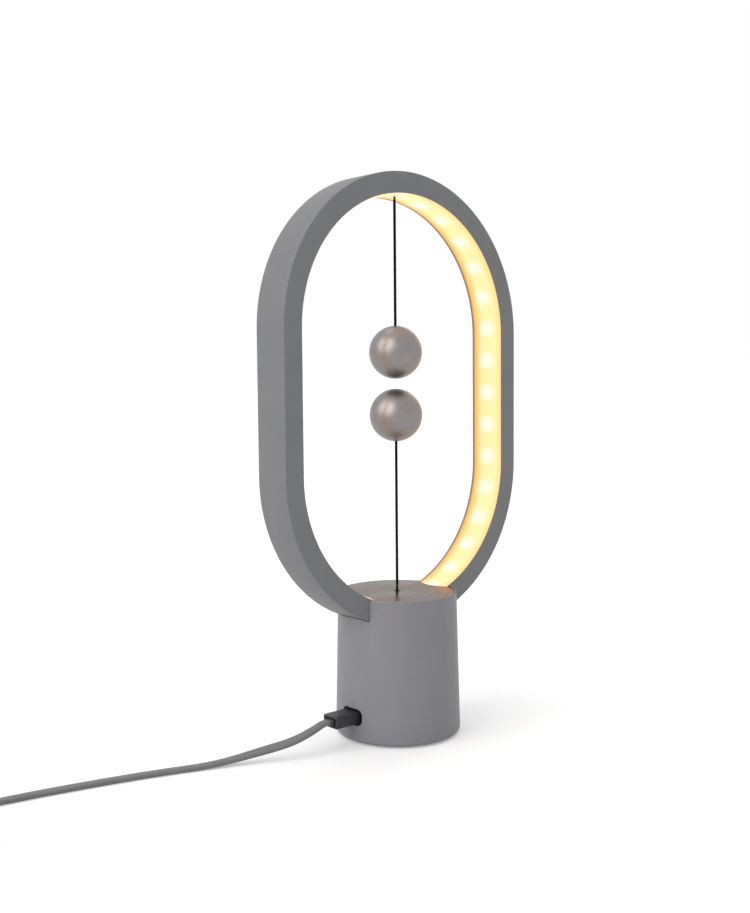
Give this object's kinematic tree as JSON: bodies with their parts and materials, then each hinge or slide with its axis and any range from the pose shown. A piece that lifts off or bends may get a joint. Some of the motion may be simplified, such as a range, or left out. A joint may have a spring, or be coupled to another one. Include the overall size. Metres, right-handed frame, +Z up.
{
  "type": "magnetic balance lamp",
  "caption": "Table lamp with a lit upright ring on a round base, and balls on cords whose magnets hold each other up and work the pull switch.",
  "frame": {"origin": "centre of the lamp's outline at the table, under the base", "axes": "+Z up, the ring stands in the XZ plane, -Y is the front, the cable leaves to -X"},
  "size_m": [0.5174, 0.1206, 0.36],
  "materials": {
    "painted_grey": "matt paint",
    "brushed_metal": "brushed",
    "lit_diffuser": "matt, lit from behind",
    "black_cord": "woven",
    "plug_plastic": "matt",
    "cable_plastic": "matt",
    "black_plastic": "matt",
    "black_rubber": "matt",
    "white_plastic": "matt",
    "steel": "bare",
    "brass": "bare",
    "cast_iron": "rough",
    "magnet_metal": "bright",
    "board_green": "gloss",
    "lead_red": "gloss",
    "lead_black": "gloss"
  },
  "bodies": {
    "lamp": {"ring_frame": "painted_grey", "base_housing": "painted_grey", "base_top_disc": "brushed_metal", "cord_grommet": "black_rubber", "bottom_cover": "black_plastic", "foot_ring": "black_rubber", "ballast_weight": "cast_iron", "chassis": "white_plastic", "chassis_post_1": "steel", "chassis_post_2": "steel", "chassis_post_3": "steel", "chassis_screw_1": "steel", "chassis_screw_2": "steel", "chassis_screw_3": "steel", "cover_screw_1": "steel", "cover_screw_2": "steel", "cover_screw_3": "steel", "ring_screw_left": "steel", "ring_screw_right": "steel", "diffuser": "lit_diffuser", "led_strip": "white_plastic", "led_lead_red": "lead_red", "led_lead_black": "lead_black", "top_cord_anchor": "brass", "plunger_bush": "brass", "switch_body": "black_plastic", "switch_screw_1": "steel", "switch_screw_2": "steel", "switch_lead_red": "lead_red", "switch_lead_black": "lead_black", "control_board": "board_green", "board_screw_1": "steel", "board_screw_2": "steel", "charging_socket": "steel", "plug_surround": "black_plastic"},
    "upper_cord_joint": {"upper_cord_bead": "black_cord"},
    "upper_ball": {"upper_cord": "black_cord", "upper_ball_top_half": "brushed_metal", "upper_ball_bottom_half": "brushed_metal", "upper_magnet": "magnet_metal", "upper_cord_stop": "brass"},
    "pull_rod": {"pull_cord": "black_cord", "plunger": "white_plastic", "return_spring": "steel"},
    "lower_cord_joint": {"lower_cord_bead": "black_cord"},
    "lower_ball": {"lower_cord": "black_cord", "lower_ball_bottom_half": "brushed_metal", "lower_ball_top_half": "brushed_metal", "lower_magnet": "magnet_metal", "lower_cord_stop": "brass"},
    "switch_lever": {"switch_lever": "steel"},
    "switch_button": {"switch_button": "white_plastic"},
    "charging_cable": {"plug_body": "plug_plastic", "plug_tip": "steel", "cable_run": "cable_plastic", "cable_coil": "cable_plastic", "cable_end": "cable_plastic", "far_plug_body": "plug_plastic", "far_plug_shell": "steel"}
  },
  "joints": [
    {"name": "upper_swing_front_back", "type": "hinge", "parent": "lamp", "child": "upper_cord_joint", "pos_m": [0, 0, 0.3454], "axis": [1, 0, 0], "range_deg": [-75, 75]},
    {"name": "upper_swing_sideways", "type": "hinge", "parent": "upper_cord_joint", "child": "upper_ball", "pos_m": [0, 0, 0.3454], "axis": [0, 1, 0], "range_deg": [-40, 40]},
    {"name": "pull_slide", "type": "slide", "parent": "lamp", "child": "pull_rod", "axis": [0, 0, 1], "range_m": [-0.0015, 0], "stiffness_N_per_m": 500, "springref_m": 0.004, "deforming": ["return_spring"]},
    {"name": "lower_swing_front_back", "type": "hinge", "parent": "pull_rod", "child": "lower_cord_joint", "pos_m": [0, 0, 0.0955], "axis": [1, 0, 0], "range_deg": [-85, 85], "stiffness_Nm_per_rad": 0.12},
    {"name": "lower_swing_sideways", "type": "hinge", "parent": "lower_cord_joint", "child": "lower_ball", "pos_m": [0, 0, 0.0955], "axis": [0, 1, 0], "range_deg": [-36, 36], "stiffness_Nm_per_rad": 0.12},
    {"name": "switch_lever_turn", "type": "hinge", "parent": "lamp", "child": "switch_lever", "pos_m": [0.027, 0, 0.0445], "axis": [0, 1, 0], "range_deg": [-4.1, 0]},
    {"name": "switch_button_press", "type": "slide", "parent": "lamp", "child": "switch_button", "axis": [0, 0, 1], "range_m": [-0.0007, 0]},
    {"name": "plug_pull_out", "type": "slide", "parent": "lamp", "child": "charging_cable", "axis": [-1, 0, 0], "range_m": [0, 0.012]}
  ],
  "couplings": [
    {"joint": "switch_lever_turn", "follows": "pull_slide", "rad_per_m": 47.06},
    {"joint": "switch_button_press", "follows": "pull_slide", "ratio": 0.4141}
  ]
}
